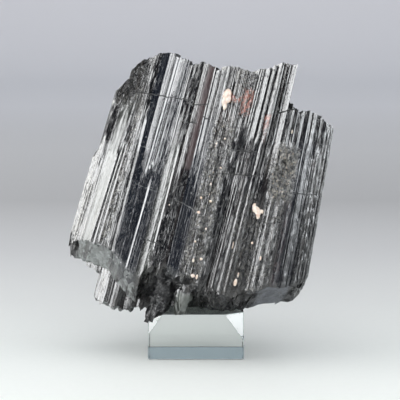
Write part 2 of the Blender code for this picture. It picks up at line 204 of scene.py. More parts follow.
# how much the striations drift sideways going up, in mm per mm, across the face
DRIFT_U = [-38, -33, -29.5, -26, -23.5, -21.5, -19, -14, -9, 3, 5.5, 8, 12, 18, 22, 28, 36]
FOOT_U = [-38, -35.9, -34.5, -31, -27, -24, -20, -17, -14, -12.7, -12.1, -9, -5, 0, 5, 8, 12, 16, 20, 24, 28, 32, 34.3, 36]
FOOT_W = [17.6, 15.0, 15.8, 16.8, 16.4, 15.5, 13.0, 11.0, 9.2, 8.4, 12.0, 13.6, 13.2, 12.4, 11.8, 11.0, 10.6, 11.2, 13.0, 15.2, 16.2, 17.6, 20.0, 21.5]
FOOT_SLOPE_U = [-38, -30, -13, -12, 0, 10, 18, 30, 36]
FOOT_SLOPE = [-0.60, -0.95, -1.10, -0.80, -0.66, -0.52, -0.34, -0.30, -0.40]
DRIFT = [0.0, 0.018, 0.034, 0.0, -0.022, 0.0, 0.022, 0.014, 0.0, 0.0, 0.012, 0.040, 0.034, 0.028, 0.012, 0.0, 0.0]


# ---------------------------------------------------------------- noise
def grain(ix, iy=0, iz=0, seed=0):
    """A repeatable random number from -1 to 1 for each whole-number cell."""
    with np.errstate(over="ignore"):
        h = (np.asarray(ix).astype(np.int64) * 374761393 + np.asarray(iy).astype(np.int64) * 668265263
             + np.asarray(iz).astype(np.int64) * 2147483647 + seed * 974634777) & 0xFFFFFFFF
        h = ((h ^ (h >> 13)) * 1274126177) & 0xFFFFFFFF
        h = ((h ^ (h >> 16)) * 2246822519) & 0xFFFFFFFF
    h = h ^ (h >> 15)
    return (h & 0xFFFFFF) / float(0x7FFFFF) - 1.0


def noise(x, y=0.0, z=0.0, seed=0):
    """Smooth value noise from -1 to 1."""
    x, y, z = np.broadcast_arrays(np.asarray(x, float), np.asarray(y, float), np.asarray(z, float))
    x0, y0, z0 = np.floor(x), np.floor(y), np.floor(z)
    fx, fy, fz = x - x0, y - y0, z - z0
    fx, fy, fz = (f * f * (3 - 2 * f) for f in (fx, fy, fz))
    out = 0.0
    for i in (0, 1):
        for j in (0, 1):
            for k in (0, 1):
                weight = (fx if i else 1 - fx) * (fy if j else 1 - fy) * (fz if k else 1 - fz)
                out = out + weight * grain(x0 + i, y0 + j, z0 + k, seed)
    return out


def layered(x, y=0.0, z=0.0, seed=0, octaves=3):
    out, size = 0.0, 1.0
    for o in range(octaves):
        out = out + size * noise(np.asarray(x) * 2 ** o, np.asarray(y) * 2 ** o, np.asarray(z) * 2 ** o, seed + 17 * o)
        size *= 0.5
    return out / 1.6


def window(x, low, high, soft):
    """1 between low and high, falling to 0 over soft on each side."""
    a = np.clip((x - low) / soft + 0.5, 0, 1)
    b = np.clip((high - x) / soft + 0.5, 0, 1)
    return (a * a * (3 - 2 * a)) * (b * b * (3 - 2 * b))


def chunks(u, v):
    """Blocky steps of a broken surface, from -0.6 to 0.6."""
    return 0.6 * grain(np.floor((u + 0.8 * noise(v / 2.0, seed=81)) / 1.15), np.floor((v + 1.1 * noise(u / 1.5, seed=82)) / 1.7), seed=83)


# ---------------------------------------------------------------- from crystal space to the row frame
def lean(p):
    s = 1.0 - TAPER * (p[:, 2] - W_MID)
    x, y, z = p[:, 0] * s, p[:, 1] * (1.0 - 0.5 * TAPER * (p[:, 2] - W_MID)), p[:, 2]
    x1, z1 = x * math.cos(TILT) + z * math.sin(TILT), -x * math.sin(TILT) + z * math.cos(TILT)
    y2, z2 = y * math.cos(BACK) + z1 * math.sin(BACK), -y * math.sin(BACK) + z1 * math.cos(BACK)
    return np.stack([x1 + FOOT[0], y2 + FOOT[1], z2 + FOOT[2]], 1)


def unlean(q):
    x1, y2, z2 = q[:, 0] - FOOT[0], q[:, 1] - FOOT[1], q[:, 2] - FOOT[2]
    y, z1 = y2 * math.cos(BACK) - z2 * math.sin(BACK), y2 * math.sin(BACK) + z2 * math.cos(BACK)
    x, w = x1 * math.cos(TILT) - z1 * math.sin(TILT), x1 * math.sin(TILT) + z1 * math.cos(TILT)
    s = 1.0 - TAPER * (w - W_MID)
    return np.stack([x / s, y / (1.0 - 0.5 * TAPER * (w - W_MID)), w], 1)


# ---------------------------------------------------------------- the striated prisms
def base_chain():
    u, v = FRONT_START
    us, vs, spans = [u], [v], []
    for row in FRONT:
        start = u
        for width, angle in row[1]:
            u, v = u + width, v - width * math.tan(math.radians(angle))
            us.append(u)
            vs.append(v)
        spans.append((row[0], start, u))
    return np.array(us), np.array(vs), spans


BU, BV, SPANS = base_chain()


def band_field(u, w):
    """The wanted turn of a rib and how broken up it is, at reference place u and height w."""
    starts = np.array([b[0] for b in BANDS])
    which = np.clip(np.searchsorted(starts, u, side="right") - 1, 0, len(BANDS) - 1)
    turn, rough = np.zeros(w.shape), np.zeros(w.shape)
    for k in np.unique(which):
        m = which == k
        wm = w[:, m] if w.ndim == 2 else w[m]
        um = u[m]
        edge = 1.6 * noise(um * 1.9 + 3.1, seed=5) + 0.8 * noise(um * 5.3, seed=6)
        steps = BANDS[k][1:]
        t = np.full(wm.shape, float(steps[0][1]))
        r = np.full(wm.shape, float(steps[0][2]))
        for (down_to, _, _), (_, turn_b, rough_b) in zip(steps[:-1], steps[1:]):
            soft = 2.6
            f = np.clip((down_to + edge - wm) / soft + 0.5, 0, 1)
            f = f * f * (3 - 2 * f)
            t, r = t + (turn_b - t) * f, r + (rough_b - r) * f
        if w.ndim == 2:
            turn[:, m], rough[:, m] = t, r
        else:
            turn[m], rough[m] = t, r
    return turn, rough


def drift(u_ref, w):
    slope = np.interp(u_ref, DRIFT_U, DRIFT)
    keep = window(u_ref, -36.5, 34.0, 2.0)
    return u_ref + keep * (slope * (w - 45.0) + 0.10 * noise(w / 17.0, u_ref / 1.3, seed=31))


def rib_edges(u0, u1, rng):
    """Cuts a prism's stretch of the front into ribs, with the bands' own edges kept."""
    marks = sorted({u0, u1, *[b[0] for b in BANDS if u0 + 0.15 < b[0] < u1 - 0.15]})
    edges = [u0]
    for a, b in zip(marks[:-1], marks[1:]):
        va, vb = np.interp([a, b], BU, BV)
        arc = math.hypot(b - a, vb - va)
        _, rough = band_field(np.array([(a + b) / 2]), np.array([40.0]))
        mean = 0.52 - 0.10 * float(rough[0])
        count = max(1, round(arc / mean))
        parts = rng.uniform(0.45, 1.55, count)
        parts = np.cumsum(parts / parts.sum())
        edges += [a + (b - a) * x for x in parts]
    return edges


def front_prism(row, span, index, rows):
    name, _, top, bottom, top_slope, foot_slope, back, rough_top, rough_foot = row
    _, u0, u1 = span
    rng = np.random.default_rng(400 + index)
    edges = rib_edges(u0, u1, rng)
    ribs = len(edges) - 1
    ua, ub = np.array(edges[:-1]), np.array(edges[1:])
    va, vb = np.interp(ua, BU, BV), np.interp(ub, BU, BV)
    arc = np.hypot(ub - ua, vb - va)
    base = np.arctan2(va - vb, ub - ua)
    jitter = rng.normal(0, 1.0, ribs) * np.interp(ua, [-4.0, 0.0, 23.0, 27.0], [4.5, 7.0, 7.0, 14.0])
    sunk = rng.uniform(0.0, 0.10, ribs) + 0.22 * (rng.uniform(0, 1, ribs) < 0.12)
    serial = index * 100 + np.arange(ribs)

    # reference places of each rib's three lines: left end, middle, right end
    gap = np.minimum(0.022 / np.maximum(arc, 0.05), 0.12)
    frac = np.stack([gap, np.full(ribs, 0.5), 1 - gap], 1).reshape(-1)
    rib = np.repeat(np.arange(ribs), 3)
    u_ref = ua[rib] + (ub - ua)[rib] * frac
    v_ref = va[rib] + (vb - va)[rib] * frac

    (u_first, v_first), (u_last, v_last) = (u0, float(va[0])), (u1, float(vb[-1]))
    left, right = REACH.get(name, (1.4, 1.4))
    corners = [(u_last + right, v_last + 2.6), (u_last + right - 0.3, back), (u_first - left + 0.3, back + 0.6),
               (u_first - left, v_first + (4.0 if name in "abcd" else 2.6))]
    hidden = []
    path = [(u_last, v_last)] + corners + [(u_first, v_first)]
    for a, b in zip(path[:-1], path[1:]):
        n = max(1, round(math.dist(a, b) / 1.7))
        for i in range(n):
            if (a, i) != (path[0], 0):
                hidden.append((a[0] + (b[0] - a[0]) * i / n, a[1] + (b[1] - a[1]) * i / n))
    hidden = np.array(hidden)

    middle = (np.interp((u0 + u1) / 2, BU, BU), 0)
    points = [(u, v) for u, v in zip(BU, BV) if u0 - 1e-6 <= u <= u1 + 1e-6]
    at = points[len(points) // 2]

    def ends(u, v, number):
        wt = top + top_slope[0] * (u - at[0]) + top_slope[1] * (v - at[1])
        wb = bottom + foot_slope[0] * (u - at[0]) + foot_slope[1] * (v - at[1])
        wt = wt - (rough_top + 0.25) * np.maximum(0.05, 0.55 + 0.5 * layered(u / 1.6, v / 1.6, seed=index + 3, octaves=4)
                                                  + 0.25 * grain(number, seed=4) + 0.9 * chunks(u, v))
        wb = np.interp(u, FOOT_U, FOOT_W) + np.maximum(np.interp(u, FOOT_SLOPE_U, FOOT_SLOPE) * (v - np.interp(u, BU, BV)), -6.8)
        ragged = np.interp(u, [-34.6, -33.4, -13.2, -12.2, 19.0, 22.0, 31.0, 33.0], [2.2, rough_foot, rough_foot, 2.3, 2.3, 0.5, 0.5, 2.2])
        wb = wb + ragged * (0.45 * layered(u / 1.9, v / 1.9, seed=60, octaves=4) + 0.12 * grain(number, seed=8) + chunks(u, v))
        return wb, wt

    wb_f, wt_f = ends(u_ref, v_ref, serial[rib])
    wb_h, wt_h = ends(hidden[:, 0], hidden[:, 1], np.zeros(len(hidden)) + 7)
    t = np.linspace(0, 1, rows)[:, None]
    w = wb_f[None] + t * (wt_f - wb_f)[None]
    w_mid = w[:, 1::3]

    turn, rough = band_field((ua + ub) / 2, w_mid)
    turn = np.where((base[None] < 0.62) & (turn > 0), 0.64 * turn, turn)
    slow = 3.0 * noise(w_mid / 14.0, serial[None] * 7.7, seed=11)
    fast = rough * 27.0 * noise(w_mid / 1.5, serial[None] * 3.3 + 0.5, seed=12)
    turn = turn + jitter[None] * (0.5 + rough) + slow + fast
    away = np.clip(np.radians(turn) - base[None], -1.15, 1.15)
    depth = np.clip(arc[None] * np.tan(np.abs(away)), 0, np.minimum(0.12 + np.where(base > 0.72, 1.6, 0.95) * arc, 0.85)[None])
    left_in = np.where(away > 0, depth, 0.0)
    right_in = np.where(away > 0, 0.0, depth)
    # real faces pivot about their outer edge, and broken ribs are pitted too
    common = sunk[None] * (0.6 + 0.4 * noise(w_mid / 9.0, serial[None] * 1.7, seed=13))
    common = common + rough * 0.20 * np.clip(0.5 + noise(w_mid / 1.1, serial[None] * 0.45, seed=14), 0, 1)
    stepped = np.where(base > 0.72, 1.0, 0.0)[None] * np.clip((w_mid - 57.0) / 3.0, 0, 1)
    common = common + stepped * 0.55 * np.clip(0.5 + noise(w_mid / 1.5, serial[None] * 0.6, seed=16), 0, 1)
    inward = np.zeros(w.shape)
    inward[:, 0::3] = left_in + common
    inward[:, 1::3] = 0.5 * (left_in + right_in) + common
    inward[:, 2::3] = right_in + common
    inward += np.clip(rough, 0, 1).repeat(3, axis=1) * 0.05 * (1 + noise(w / 0.9, u_ref[None] * 2.2, seed=15))
    end_wear = window(t, -1, 0.006, 0.012) + window(t, 0.994, 2, 0.012)
    inward += 0.12 * end_wear

    u = drift(u_ref[None], w) + np.sin(base)[rib][None] * inward
    v = v_ref[None] + np.cos(base)[rib][None] * inward
    wh = wb_h[None] + t * (wt_h - wb_h)[None]
    uh = hidden[None, :, 0] + (drift(hidden[None, :, 0], wh) - hidden[None, :, 0])
    vh = np.broadcast_to(hidden[None, :, 1], uh.shape)
    ring = np.stack([np.hstack([u, uh]), np.hstack([v, vh]), np.hstack([w, wh])], 2)

    def cap(points, upper):
        wb, wt = ends(points[:, 0], points[:, 1], np.zeros(len(points)) + 7)
        w = wt if upper else wb
        return np.stack([drift(points[:, 0], w), points[:, 1], w], 1)

    flat = np.vstack([np.stack([u_ref, v_ref], 1), hidden])
    return shell(name, ring, flat, cap)


def shell(name, ring, flat, cap, loops=7):
    """A closed skin from rows of rings, bottom to top, and caps that close in towards the middle."""
    rows, n, _ = ring.shape
    verts = [ring.reshape(-1, 3)]
    faces = []
    idx = np.arange(rows * n).reshape(rows, n)
    nxt = np.roll(idx, -1, axis=1)
    a, b, c, d = idx[:-1], nxt[:-1], nxt[1:], idx[1:]
    walls = np.stack([a, b, c, d], 2).reshape(-1, 4)
    quads = [walls]
    tris = []
    total = rows * n
    centre = flat.mean(axis=0)
    for upper in (False, True):
        outer = idx[-1] if upper else idx[0]
        for k in range(1, loops):
            r = 1 - k / loops
            inner = cap(centre + (flat - centre) * r, upper)
            verts.append(inner)
            ids = np.arange(total, total + n)
            total += n
            q = np.stack([outer, np.roll(outer, -1), np.roll(ids, -1), ids], 1)
            quads.append(q if upper else q[:, ::-1])
            outer = ids
        verts.append(cap(centre[None], upper))
        hub = total
        total += 1
        f = np.stack([outer, np.roll(outer, -1), np.full(n, hub)], 1)
        tris.append(f if upper else f[:, ::-1])
    mesh = bpy.data.meshes.new(name)
    faces = [tuple(f) for q in quads for f in q.tolist()] + [tuple(f) for q in tris for f in q.tolist()]
    mesh.from_pydata(np.vstack(verts).tolist(), [], faces)
    mesh.update()
    obj = bpy.data.objects.new(name, mesh)
    bpy.context.scene.collection.objects.link(obj)
    return obj


def rear_prism(row, index, rows, rough_ends=(0.8, 0.9), rib_size=(0.45, 1.5), turns=None, taper=0.0, lumps=0.0, crag=0.0):
    name, centre, reach, turn, top, bottom, top_slope, foot_slope = row
    rng = np.random.default_rng(900 + index)
    corners = []
    for i in range(SIDES):
        a = 2 * math.pi * i / SIDES
        r = 1.0 + 0.07 * math.cos(3 * a) + 0.03 * math.sin(5 * a + turn)
        b = a + math.radians(turn)
        corners.append((centre[0] + reach[0] * r * math.cos(b), centre[1] + reach[1] * r * math.sin(b)))
    ends_a, ends_b = [], []
    for p, q in zip(corners, corners[1:] + corners[:1]):
        length = math.dist(p, q)
        count = max(2, round(length / (sum(rib_size) / 2)))
        parts = rng.uniform(rib_size[0], rib_size[1], count)
        parts = np.concatenate([[0], np.cumsum(parts / parts.sum())])
        for f, g in zip(parts[:-1], parts[1:]):
            ends_a.append((p[0] + (q[0] - p[0]) * f, p[1] + (q[1] - p[1]) * f))
            ends_b.append((p[0] + (q[0] - p[0]) * g, p[1] + (q[1] - p[1]) * g))
    pa, pb = np.array(ends_a), np.array(ends_b)
    ribs = len(pa)
    arc = np.hypot(*(pb - pa).T)
    along = (pb - pa) / arc[:, None]
    inward_dir = np.stack([-along[:, 1], along[:, 0]], 1)      # the ring runs anticlockwise
    serial = 5000 + index * 200 + np.arange(ribs)
    gap = np.minimum(0.03 / arc, 0.12)
    rib = np.repeat(np.arange(ribs), 2)
    frac = np.stack([gap, 1 - gap], 1).reshape(-1)
    flat = pa[rib] + (pb - pa)[rib] * frac[:, None]
    tilt = rng.normal(0, 16, ribs)

    def ends(u, v, number):
        wt = top + top_slope[0] * (u - centre[0]) + top_slope[1] * (v - centre[1])
        wb = bottom + foot_slope[0] * (u - centre[0]) + foot_slope[1] * (v - centre[1])
        wt = wt - rough_ends[0] * np.maximum(0.05, 0.7 + 0.4 * layered(u / 1.9, v / 1.9, seed=index + 140, octaves=4) + 0.15 * grain(number, seed=4) + 1.3 * chunks(u, v))
        wb = wb + rough_ends[1] * (0.7 + 0.4 * layered(u / 1.7, v / 1.7, seed=index + 160, octaves=4) + 0.15 * grain(number, seed=8) + 0.9 * chunks(u, v))
        return wb, wt

    wb, wt = ends(flat[:, 0], flat[:, 1], serial[rib])
    t = np.linspace(0, 1, rows)[:, None]
    w = wb[None] + t * (wt - wb)[None]
    w_mid = 0.5 * (w[:, 0::2] + w[:, 1::2])
    worn = np.clip(0.25 + 0.5 * noise(w_mid / 11.0, pa[None, :, 0] / 6.0, pa[None, :, 1] / 6.0, seed=71), 0, 1) * 0.7
    angle = tilt[None] + 5 * noise(w_mid / 12.0, serial[None] * 7.7, seed=72) + worn * 30 * noise(w_mid / 2.4, serial[None] * 3.3 + 0.5, seed=73)
    if turns:
        faces = np.degrees(np.arctan2(inward_dir[:, 0], inward_dir[:, 1]))
        starts = [t[0] for t in turns]
        wanted = np.array([turns[max(0, int(np.searchsorted(starts, x, side="right")) - 1)][1] for x in (pa[:, 0] + pb[:, 0]) / 2])
        forward = (np.abs(faces) < 80)[None]
        angle = np.where(forward, np.clip(wanted - faces, -50, 50)[None] + 0.55 * angle, angle)
    depth = np.clip(arc[None] * np.tan(np.radians(np.clip(np.abs(angle), 0, 50))), 0, 0.45)
    common = rng.uniform(0, 0.12, ribs)[None] + worn * 0.22 * np.clip(0.4 + noise(w_mid / 1.8, serial[None] * 0.5, seed=74), 0, 1)
    inward = np.zeros(w.shape)
    inward[:, 0::2] = np.where(angle > 0, depth, 0) + common
    inward[:, 1::2] = np.where(angle > 0, 0, depth) + common
    inward += 0.14 * (window(t, -1, 0.01, 0.02) + window(t, 0.99, 2, 0.02))
    inward += taper * np.clip(1 - t / 0.4, 0, 1) ** 1.5
    if turns:
        inward += 0.55 * np.clip(chunks(w * 0.8 + 3.0, flat[None, :, 0] * 1.3), 0, 1) * np.clip((22.0 - w) / 3.0, 0, 1)
    if crag:
        high = np.clip((w - 62.0) / 3.0, 0, 1)
        inward += crag * high * np.clip(0.5 + 0.9 * chunks(w * 1.1, flat[None, :, 0] + flat[None, :, 1]) + 0.4 * noise(w / 0.9, flat[None, :, 0], seed=95), 0, 1.5)
    inward += lumps * (0.5 + layered(flat[None, :, 0] / 1.6, flat[None, :, 1] / 1.6, w / 2.0, seed=91, octaves=4))
    u = flat[None, :, 0] + inward_dir[rib][None, :, 0] * inward
    v = flat[None, :, 1] + inward_dir[rib][None, :, 1] * inward
    ring = np.stack([u, v, w], 2)

    def cap(points, upper):
        if taper and not upper:
            points = np.asarray(centre) + (points - np.asarray(centre)) * (1 - taper / min(reach))
        wb, wt = ends(points[:, 0], points[:, 1], np.zeros(len(points)) + 7)
        return np.stack([points[:, 0], points[:, 1], wt if upper else wb], 1)

    return shell(name, ring, flat, cap, loops=8)


def combine(base, other, how, solver="MANIFOLD"):
    step = base.modifiers.new("join", "BOOLEAN")
    step.operation, step.solver, step.object = how, solver, other
    bpy.context.view_layer.update()
    mesh = bpy.data.meshes.new_from_object(base.evaluated_get(bpy.context.evaluated_depsgraph_get()))
    base.modifiers.clear()
    old, base.data = base.data, mesh
    bpy.data.meshes.remove(old)
    bpy.data.objects.remove(other)


# ---------------------------------------------------------------- zones of the surface
def zone(u, w, u0, u1, w0, w1, soft_u=0.6, soft_w=1.5):
    return window(u, u0, u1, soft_u) * window(w, w0, w1, soft_w)


def paint(mesh):
    """Where the crystal is stained, crusted, bluish or broken, kept on the mesh for its material."""
    n = len(mesh.vertices)
    co = np.empty(n * 3)
    mesh.vertices.foreach_get("co", co)
    place = unlean(co.reshape(-1, 3))
    u, v, w = place.T
    u_ref = u.copy()
    for _ in range(3):
        u_ref = u - (drift(u_ref, w) - u_ref)
    front = np.clip((np.interp(u, BU, BV) + 4.5 - v) / 2.0, 0, 1)
    ragged = 0.5 + 0.5 * layered(u / 0.8, w / 3.0, v / 2.0, seed=201, octaves=3)
    patchy = 0.5 + 0.5 * layered(u / 1.5, w / 1.5, v / 1.5, seed=202, octaves=4)

    stain = 0.9 * zone(u_ref, w, -8.2, -6.3, 45, 82, 0.5, 2.0)
    stain = np.maximum(stain, 0.35 * zone(u_ref, w, -8.9, -8.1, 48, 74, 0.5, 3.0))
    stain = np.maximum(stain, 1.8 * patchy * zone(u_ref, w, 4.3, 7.1, 65.0, 72.5, 1.0, 2.0))
    stain = np.maximum(stain, 1.2 * zone(u_ref, w, 0.8, 4.4, 68.3, 69.8, 0.8, 0.8))
    stain = np.maximum(stain, 1.7 * patchy * zone(u_ref, w, 12.2, 13.9, 58.5, 66, 0.8, 2.0))
    stain = np.maximum(stain, 0.5 * ragged * zone(u_ref, w, 24.5, 26.3, 8, 42, 0.8, 3.0))
    stain = np.maximum(stain, 0.7 * ragged * zone(u_ref, w, 24.7, 26.0, 20, 30, 0.8, 2.0))
    stain = np.maximum(stain, 0.7 * patchy * zone(u_ref, w, 30.0, 31.4, 50, 56, 0.8, 2.0))
    stain = np.maximum(stain, 0.4 * patchy * zone(u_ref, w, -29.4, -28.0, 22, 30, 0.8, 3.0))
    stain = np.maximum(stain, 0.5 * patchy * zone(u_ref, w, -1.6, 3.0, 54, 64, 1.2, 3.0))
    stain *= front

    crust = 1.25 * patchy * zone(u_ref, w, 18.6, 25.4, 42.0, 58.0, 2.0, 3.0)
    crust = np.maximum(crust, 0.45 * patchy * zone(u_ref, w, 16.5, 21.0, 49.0, 54.0, 2.0, 2.0))
    crust = np.maximum(crust, 0.50 * patchy * zone(u_ref, w, -2.2, 4.2, 12, 62, 1.2, 4.0))
    crust = np.maximum(crust, 0.22 * patchy * zone(u_ref, w, 11.0, 24.0, 10, 42, 2.5, 4.0))
    crust = np.maximum(crust, 0.35 * patchy * zone(u_ref, w, -27.4, -25.6, 17, 60, 0.8, 4.0))
    crust = np.maximum(crust, 0.35 * patchy * zone(u_ref, w, 1.0, 7.0, 66, 80, 2.0, 4.0))
    crust = np.maximum(crust, 0.25 * patchy * zone(u_ref, w, -36.5, -26.0, 60, 75, 2.0, 4.0))
    crust *= front
    crust = np.maximum(crust, 0.10 * patchy * (1 - front))

    cool = zone(u_ref, w, -23.6, -14.5, 5, 82, 1.0, 3.0)
    cool = np.maximum(cool, zone(u_ref, w, -6.4, -2.4, 5, 62, 0.8, 3.0))
    cool = np.maximum(cool, 0.7 * zone(u_ref, w, 24.8, 30.0, 8, 62, 1.5, 4.0))
    cool *= front
    pale = np.maximum(zone(u_ref, w, -33.0, -29.8, 12, 60, 1.0, 4.0), 0.6 * zone(u_ref, w, -14.2, -11.2, 10, 52, 0.8, 4.0)) * front
    knob = window(u, -1.6, 3.4, 0.8) * window(v, -30, -10.8, 0.8) * window(w, -9, 7.5, 1.5)

    for name, values in (("stain", stain), ("crust", crust), ("cool", cool), ("pale", pale), ("knob", knob)):
        mesh.attributes.new(name, "FLOAT", "POINT").data.foreach_set("value", np.clip(values, 0, 1).astype(np.float32))
    where = np.stack([u_ref, v, w], 1)
    mesh.attributes.new("place", "FLOAT_VECTOR", "POINT").data.foreach_set("vector", where.astype(np.float32).reshape(-1))

    # faces across the long axis are broken ends; those along it are prism faces
    m = len(mesh.polygons)
    normal = np.empty(m * 3)
    mesh.polygons.foreach_get("normal", normal)
    normal = normal.reshape(-1, 3)
    axis = np.array([math.sin(TILT), math.cos(TILT) * math.sin(BACK), math.cos(TILT) * math.cos(BACK)])
    across = np.abs(normal @ axis)
    broken = np.clip((across - 0.42) / 0.25, 0, 1)
    first = np.empty(m, dtype=np.int32)
    mesh.polygons.foreach_get("loop_start", first)
    corner = np.empty(len(mesh.loops), dtype=np.int32)
    mesh.loops.foreach_get("vertex_index", corner)
    at = place[corner[first]]
    spur = window(at[:, 0], -10.5, -2.8, 0.4) * window(at[:, 1], -30, -7.4, 0.6) * window(at[:, 2], -9, 10.5, 1.5)
    shoulder = window(at[:, 0], 18.8, 34.0, 0.5) * window(at[:, 2], 63.5, 90, 2.0) * (at[:, 1] > np.interp(at[:, 0], BU, BV) + 1.5)
    broken = np.maximum(broken, np.maximum(spur, shoulder))
    mesh.attributes.new("broken", "FLOAT", "FACE").data.foreach_set("value", broken.astype(np.float32))


# ---------------------------------------------------------------- materials
class Nodes:
    """Short names for the few shader nodes the materials are made of."""

    def __init__(self, name):
        self.material = bpy.data.materials.new(name)
        self.material.use_nodes = True
        self.tree = self.material.node_tree
        self.shader = self.tree.nodes["Principled BSDF"]

    def put(self, kind, **settings):
        node = self.tree.nodes.new(kind)
        for key, value in settings.items():
            setattr(node, key, value)
        return node

    def wire(self, source, socket):
        if isinstance(source, (int, float)):
            socket.default_value = source
        elif isinstance(source, tuple):
            socket.default_value = source if len(source) == len(socket.default_value) else (*source, 1.0)
        else:
            self.tree.links.new(source, socket)

    def attribute(self, name, out="Fac"):
        return self.put("ShaderNodeAttribute", attribute_name=name).outputs[out]

    def math(self, how, a, b=0.0, c=0.0, clamp=False):
        node = self.put("ShaderNodeMath", operation=how, use_clamp=clamp)
        for socket, value in zip(node.inputs, (a, b, c)):
            self.wire(value, socket)
        return node.outputs[0]

    def scaled(self, vector, by, shift=(0, 0, 0)):
        node = self.put("ShaderNodeMapping")
        self.wire(vector, node.inputs["Vector"])
        node.inputs["Scale"].default_value = by
        node.inputs["Location"].default_value = shift
        return node.outputs[0]

    def noise(self, vector, detail=3.0, rough=0.5, distortion=0.0):
        node = self.put("ShaderNodeTexNoise")
        self.wire(vector, node.inputs["Vector"])
        node.inputs["Scale"].default_value = 1.0
        node.inputs["Detail"].default_value = detail
        node.inputs["Roughness"].default_value = rough
        node.inputs["Distortion"].default_value = distortion
        return node.outputs["Fac"]

    def cells(self, vector, feature="F1", out="Distance"):
        node = self.put("ShaderNodeTexVoronoi", feature=feature)
        self.wire(vector, node.inputs["Vector"])
        node.inputs["Scale"].default_value = 1.0
        return node.outputs[out]

    def facets(self, vector):
        """Cells that each slope their own way."""
        node = self.put("ShaderNodeTexVoronoi")
        self.wire(vector, node.inputs["Vector"])
        node.inputs["Scale"].default_value = 1.0
        away = self.put("ShaderNodeVectorMath", operation="SUBTRACT")
        self.wire(vector, away.inputs[0])
        self.wire(node.outputs["Position"], away.inputs[1])
        slope = self.put("ShaderNodeVectorMath", operation="SUBTRACT")
        self.wire(node.outputs["Color"], slope.inputs[0])
        slope.inputs[1].default_value = (0.5, 0.5, 0.5)
        dot = self.put("ShaderNodeVectorMath", operation="DOT_PRODUCT")
        self.wire(away.outputs[0], dot.inputs[0])
        self.wire(slope.outputs[0], dot.inputs[1])
        return dot.outputs["Value"]

    def ramp(self, value, low, high, to_low=0.0, to_high=1.0):
        node = self.put("ShaderNodeMapRange", interpolation_type="SMOOTHSTEP")
        for socket, x in zip(node.inputs, (value, low, high, to_low, to_high)):
            self.wire(x, socket)
        return node.outputs["Result"]

    def blend(self, factor, a, b, how="MIX"):
        node = self.put("ShaderNodeMix", data_type="RGBA", blend_type=how)
        self.wire(factor, node.inputs[0])
        self.wire(a, node.inputs[6])
        self.wire(b, node.inputs[7])
        return node.outputs[2]

    def split(self, vector):
        node = self.put("ShaderNodeSeparateXYZ")
        self.wire(vector, node.inputs[0])
        return node.outputs

    def bump(self, height, strength, distance, normal=None):
        node = self.put("ShaderNodeBump")
        node.inputs["Strength"].default_value = strength
        node.inputs["Distance"].default_value = distance
        self.wire(height, node.inputs["Height"])
        if normal is not None:
            self.wire(normal, node.inputs["Normal"])
        return node.outputs[0]


# thin cracks: from u, to u, height at the first and second end, width, how deep they look from 0 (pale, healed) to 1 (open)
CRACKS = [
    (-31.0, -11.0, 64.6, 65.6, 0.16, 1.0),
    (-11.0, -6.0, 64.2, 65.4, 0.20, 1.0),
    (-11.0, -7.6, 58.8, 59.4, 0.25, 1.0),
    (-6.2, -4.0, 61.4, 61.0, 0.20, 1.0),
    (-23.8, -18.8, 48.8, 48.0, 0.17, 0.0),
    (-22.0, -14.6, 37.0, 36.0, 0.17, 0.0),
    (-8.8, -2.0, 35.0, 33.2, 0.22, 0.0),
    (1.0, 14.5, 45.4, 47.8, 0.18, 0.9),
    (15.5, 21.0, 67.4, 70.0, 0.24, 1.0),
    (5.0, 12.0, 53.6, 54.6, 0.16, 0.8),
    (-14.0, -9.0, 21.2, 20.4, 0.20, 0.9),
    (24.0, 33.5, 44.6, 46.0, 0.16, 0.7),
]


